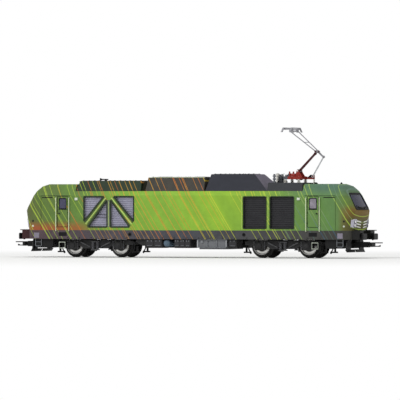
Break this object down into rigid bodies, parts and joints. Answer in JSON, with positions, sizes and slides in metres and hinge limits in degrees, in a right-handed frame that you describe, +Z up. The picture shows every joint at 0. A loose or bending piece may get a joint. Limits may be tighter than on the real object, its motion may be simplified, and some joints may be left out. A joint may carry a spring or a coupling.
{
  "type": "model dual-mode electric locomotive",
  "caption": "Scale model of a two-cab electric locomotive with roof hoods, swivelling bogies, loop couplers and a single-arm pantograph that folds down.",
  "frame": {"origin": "on the ground under the middle of the model, where the wheel flanges stand", "axes": "+X along the model to the pantograph end, +Y across, +Z up"},
  "size_m": [0.2434, 0.0364, 0.0805],
  "materials": {
    "body_green": "satin printed plastic",
    "sill_grey": "satin dark grey plastic",
    "chassis_metal": "matt black painted die-casting",
    "window_glass": "clear tinted glazing",
    "cab_grey": "matt grey plastic",
    "grille_grey": "satin grey plastic",
    "panel_charcoal": "satin charcoal plastic",
    "roof_dark": "matt dark grey plastic",
    "black_fitting": "matt black plastic",
    "insulator_white": "gloss off-white plastic",
    "gear_grey": "satin grey plastic",
    "panto_red": "satin red-brown paint",
    "panto_grey": "satin silver-grey paint",
    "bogie_black": "matt black plastic",
    "wheel_steel": "bright turned steel",
    "tank_grey": "satin grey plastic",
    "reservoir_blue": "satin blue-grey plastic",
    "rail_metal": "bright steel wire",
    "lamp_white": "clear and silver lamp unit",
    "motor_steel": "plain steel"
  },
  "bodies": {
    "loco_body": {"side_walls": "body_green", "roof_deck": "body_green", "cab_roofs": "body_green", "noses": "body_green", "windscreens": "window_glass", "door_windows": "window_glass", "cab_interiors": "cab_grey", "truss_grilles": "grille_grey", "side_panels": "panel_charcoal", "roof_rear": "roof_dark", "roof_middle": "roof_dark", "roof_hood": "roof_dark", "roof_front": "roof_dark", "horn": "black_fitting", "aerials": "black_fitting", "roof_insulators": "insulator_white", "main_switch": "gear_grey", "panto_base": "panto_red", "panto_insulators": "insulator_white", "chassis_floor": "chassis_metal", "chassis_centre": "chassis_metal", "side_sills": "sill_grey", "headstocks": "sill_grey", "motor": "motor_steel", "buffer_housings": "sill_grey", "buffers": "black_fitting", "rail_guards": "black_fitting", "end_boxes": "black_fitting", "battery_boxes": "black_fitting", "equipment_boxes": "black_fitting", "filter_boxes": "black_fitting", "air_reservoir": "reservoir_blue", "fuel_tank": "tank_grey", "handrails": "rail_metal", "headlights": "lamp_white", "side_cameras": "body_green"},
    "bogie_front": {"bogie_frame_front": "bogie_black", "axle_boxes_front": "bogie_black", "sand_pipes_front": "bogie_black", "cab_steps_front": "bogie_black"},
    "wheelset_front_outer": {"wheels_front_outer": "wheel_steel", "axle_front_outer": "wheel_steel"},
    "wheelset_front_inner": {"wheels_front_inner": "wheel_steel", "axle_front_inner": "wheel_steel"},
    "coupler_front": {"coupler_front": "black_fitting"},
    "bogie_rear": {"bogie_frame_rear": "bogie_black", "axle_boxes_rear": "bogie_black", "sand_pipes_rear": "bogie_black", "cab_steps_rear": "bogie_black"},
    "wheelset_rear_outer": {"wheels_rear_outer": "wheel_steel", "axle_rear_outer": "wheel_steel"},
    "wheelset_rear_inner": {"wheels_rear_inner": "wheel_steel", "axle_rear_inner": "wheel_steel"},
    "coupler_rear": {"coupler_rear": "black_fitting"},
    "panto_lower_arm": {"panto_lower_arm": "panto_red"},
    "panto_upper_arm": {"panto_upper_arm": "panto_grey"},
    "panto_head": {"panto_head": "panto_red"},
    "panto_control_rod": {"panto_control_rod": "panto_grey"}
  },
  "joints": [
    {"name": "bogie_front_swivel", "type": "hinge", "parent": "loco_body", "child": "bogie_front", "pos_m": [0.0625, 0, 0.0101], "axis": [0, 0, 1], "range_deg": [-8, 8]},
    {"name": "wheelset_front_outer_turn", "type": "hinge", "parent": "bogie_front", "child": "wheelset_front_outer", "pos_m": [0.078, 0, 0.0074], "axis": [0, 1, 0], "continuous": true},
    {"name": "wheelset_front_inner_turn", "type": "hinge", "parent": "bogie_front", "child": "wheelset_front_inner", "pos_m": [0.047, 0, 0.0074], "axis": [0, 1, 0], "continuous": true},
    {"name": "coupler_front_swing", "type": "hinge", "parent": "loco_body", "child": "coupler_front", "pos_m": [0.098, 0, 0.0084], "axis": [0, 0, 1], "range_deg": [-15, 15]},
    {"name": "bogie_rear_swivel", "type": "hinge", "parent": "loco_body", "child": "bogie_rear", "pos_m": [-0.0625, 0, 0.0101], "axis": [0, 0, 1], "range_deg": [-8, 8]},
    {"name": "wheelset_rear_outer_turn", "type": "hinge", "parent": "bogie_rear", "child": "wheelset_rear_outer", "pos_m": [-0.078, 0, 0.0074], "axis": [0, 1, 0], "continuous": true},
    {"name": "wheelset_rear_inner_turn", "type": "hinge", "parent": "bogie_rear", "child": "wheelset_rear_inner", "pos_m": [-0.047, 0, 0.0074], "axis": [0, 1, 0], "continuous": true},
    {"name": "coupler_rear_swing", "type": "hinge", "parent": "loco_body", "child": "coupler_rear", "pos_m": [-0.098, 0, 0.0084], "axis": [0, 0, 1], "range_deg": [-15, 15]},
    {"name": "panto_fold", "type": "hinge", "parent": "loco_body", "child": "panto_lower_arm", "pos_m": [0.0681, 0, 0.0536], "axis": [0, 1, 0], "range_deg": [0, 41]},
    {"name": "panto_elbow", "type": "hinge", "parent": "panto_lower_arm", "child": "panto_upper_arm", "pos_m": [0.0798, 0, 0.0657], "axis": [0, -1, 0], "range_deg": [-4, 78.5]},
    {"name": "panto_head_level", "type": "hinge", "parent": "panto_upper_arm", "child": "panto_head", "pos_m": [0.0645, 0, 0.0783], "axis": [0, 1, 0], "range_deg": [-4, 37.5]},
    {"name": "panto_rod_swing", "type": "hinge", "parent": "loco_body", "child": "panto_control_rod", "pos_m": [0.0761, 0.0022, 0.0504], "axis": [0, 1, 0], "range_deg": [-4, 47.6]}
  ],
  "couplings": [
    {"joint": "panto_elbow", "follows": "panto_fold", "ratio": 1.8171},
    {"joint": "panto_head_level", "follows": "panto_fold", "ratio": 0.81707},
    {"joint": "panto_rod_swing", "follows": "panto_fold", "ratio": 1.0634}
  ]
}
